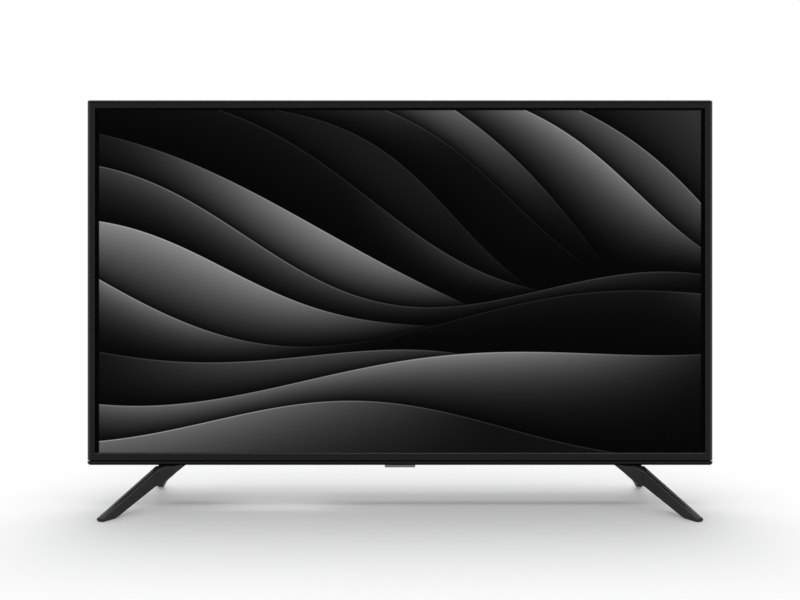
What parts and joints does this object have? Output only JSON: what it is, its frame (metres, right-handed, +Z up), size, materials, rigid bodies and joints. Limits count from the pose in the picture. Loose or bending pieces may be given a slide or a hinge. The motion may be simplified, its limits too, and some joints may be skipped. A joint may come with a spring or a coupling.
{
  "type": "flat screen television",
  "caption": "Slim flat screen television with a thin black frame, a deeper rear housing with socket bays, and splayed V-shaped feet.",
  "frame": {"origin": "on the floor, midway between the feet", "axes": "+X to the viewer's right, +Y from the screen to the back, +Z up"},
  "size_m": [0.725, 0.184, 0.469],
  "materials": {
    "aluminium": "anodised",
    "black_screw": "blackened",
    "board_green": "solder mask",
    "board_tan": "phenolic",
    "box_black": "moulded",
    "brass_plated": "plated",
    "capacitor": "sleeved",
    "chip_black": "moulded",
    "clear_lens": "clear",
    "coil_tape": "taped",
    "cover_black": "fine grained",
    "ferrite": "ground",
    "foam": "soft",
    "frame_black": "satin",
    "lead_red": "insulated wire",
    "leg_black": "satin",
    "nickel": "nickel plated",
    "optical_film": "satin",
    "paper_cone": "pressed",
    "ribbon": "polyimide film",
    "rubber": "matte",
    "screen_glass": "anti-glare",
    "smoked_lens": "polished, smoked",
    "socket_black": "moulded",
    "white_plastic": "satin",
    "zinc_steel": "zinc coated"
  },
  "bodies": {
    "television": {"aerial_socket": "brass_plated", "array_glass": "screen_glass", "back_plate": "zinc_steel", "bezel_foam": "foam", "board_chips": "chip_black", "board_plugs": "white_plastic", "board_screws": "zinc_steel", "board_standoffs": "zinc_steel", "bottom_trim": "frame_black", "chip_heatsink": "aluminium", "cover_screws": "black_screw", "diffuser_pins": "white_plastic", "diffuser_plate": "white_plastic", "diffuser_sheet": "optical_film", "filter_choke": "ferrite", "filter_glass": "screen_glass", "flat_cables": "optical_film", "foot_pads": "rubber", "front_bezel": "frame_black", "headphone_jack": "socket_black", "key_switch": "nickel", "lan_socket": "socket_black", "leg_left": "leg_black", "leg_right": "leg_black", "leg_screws": "black_screw", "light_bars": "aluminium", "light_lenses": "clear_lens", "main_board": "board_green", "mains_inlet": "socket_black", "mid_frame": "box_black", "mount_pillars": "zinc_steel", "optical_socket": "socket_black", "panel_ribbons": "ribbon", "power_board": "board_tan", "power_capacitors": "capacitor", "power_coolers": "aluminium", "prism_sheet": "optical_film", "radio_module": "board_green", "radio_tin": "nickel", "rear_cover": "cover_black", "reflector_tray": "white_plastic", "remote_receiver": "chip_black", "sensor_board": "board_green", "sensor_window": "smoked_lens", "source_boards": "board_green", "speaker_boxes": "box_black", "speaker_frames": "zinc_steel", "speaker_gaskets": "foam", "speaker_magnets": "ferrite", "speaker_surrounds": "rubber", "supply_leads": "lead_red", "timing_board": "board_green", "transformer": "coil_tape", "usb_sockets": "nickel", "video_sockets": "nickel"},
    "power_key": {"power_key": "frame_black"},
    "speaker_cone_left": {"speaker_cone_left": "paper_cone"},
    "speaker_cone_right": {"speaker_cone_right": "paper_cone"}
  },
  "joints": [
    {"name": "power_key_press", "type": "slide", "parent": "television", "child": "power_key", "axis": [0, 0, 1], "range_m": [0, 0.0007], "stiffness_N_per_m": 800, "springref_m": -0.001},
    {"name": "speaker_cone_left_stroke", "type": "slide", "parent": "television", "child": "speaker_cone_left", "axis": [0, 0, 1], "range_m": [-0.001, 0.001], "stiffness_N_per_m": 1500},
    {"name": "speaker_cone_right_stroke", "type": "slide", "parent": "television", "child": "speaker_cone_right", "axis": [0, 0, 1], "range_m": [-0.001, 0.001], "stiffness_N_per_m": 1500}
  ]
}
